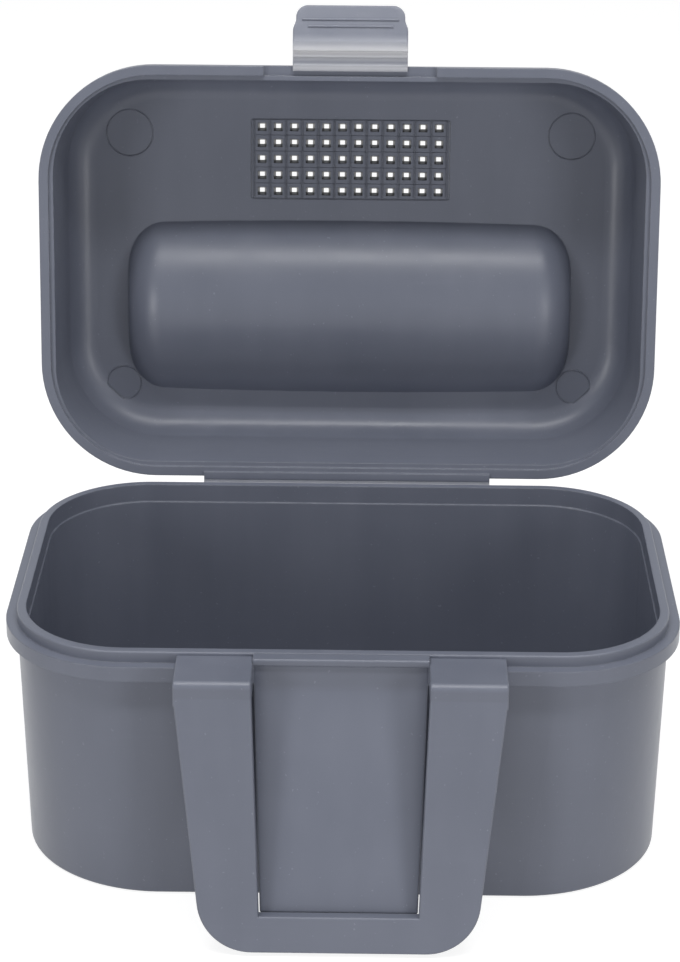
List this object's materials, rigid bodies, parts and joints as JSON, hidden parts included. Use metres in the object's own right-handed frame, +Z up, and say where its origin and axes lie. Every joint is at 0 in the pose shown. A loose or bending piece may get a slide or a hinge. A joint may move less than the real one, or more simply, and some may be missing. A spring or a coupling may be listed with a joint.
{
  "type": "live bait box",
  "caption": "Small moulded bait box with a film-hinged vented lid, a snap latch and a belt clip with a spring tongue.",
  "frame": {"origin": "on the table under the centre of the tub's base", "axes": "+Z up, +Y towards the hinge at the rear, +X to the right seen from the belt clip"},
  "size_m": [0.1342, 0.1526, 0.1541],
  "materials": {
    "box_plastic": "satin moulded polypropylene, slate blue-grey",
    "film_plastic": "thin, slightly translucent polypropylene",
    "latch_plastic": "paler, slightly translucent polypropylene"
  },
  "bodies": {
    "tub": {"tub": "box_plastic", "belt_clip": "box_plastic", "hinge_film": "film_plastic"},
    "lid": {"lid_shell": "box_plastic", "vent_grille": "box_plastic", "latch_root": "latch_plastic"},
    "latch": {"latch": "latch_plastic"},
    "tongue": {"clip_tongue": "box_plastic"}
  },
  "joints": [
    {"name": "lid_hinge", "type": "hinge", "parent": "tub", "child": "lid", "pos_m": [0, 0.0462, 0.052], "axis": [1, 0, 0], "range_deg": [-81.5, 98.5]},
    {"name": "latch_hinge", "type": "hinge", "parent": "lid", "child": "latch", "pos_m": [0, 0.06179, 0.1431], "axis": [1, 0, 0], "range_deg": [-60, 90]},
    {"name": "tongue_flex", "type": "hinge", "parent": "tub", "child": "tongue", "pos_m": [0, -0.0443, 0.047], "axis": [1, 0, 0], "range_deg": [0, 8], "stiffness_Nm_per_rad": 0.76}
  ]
}
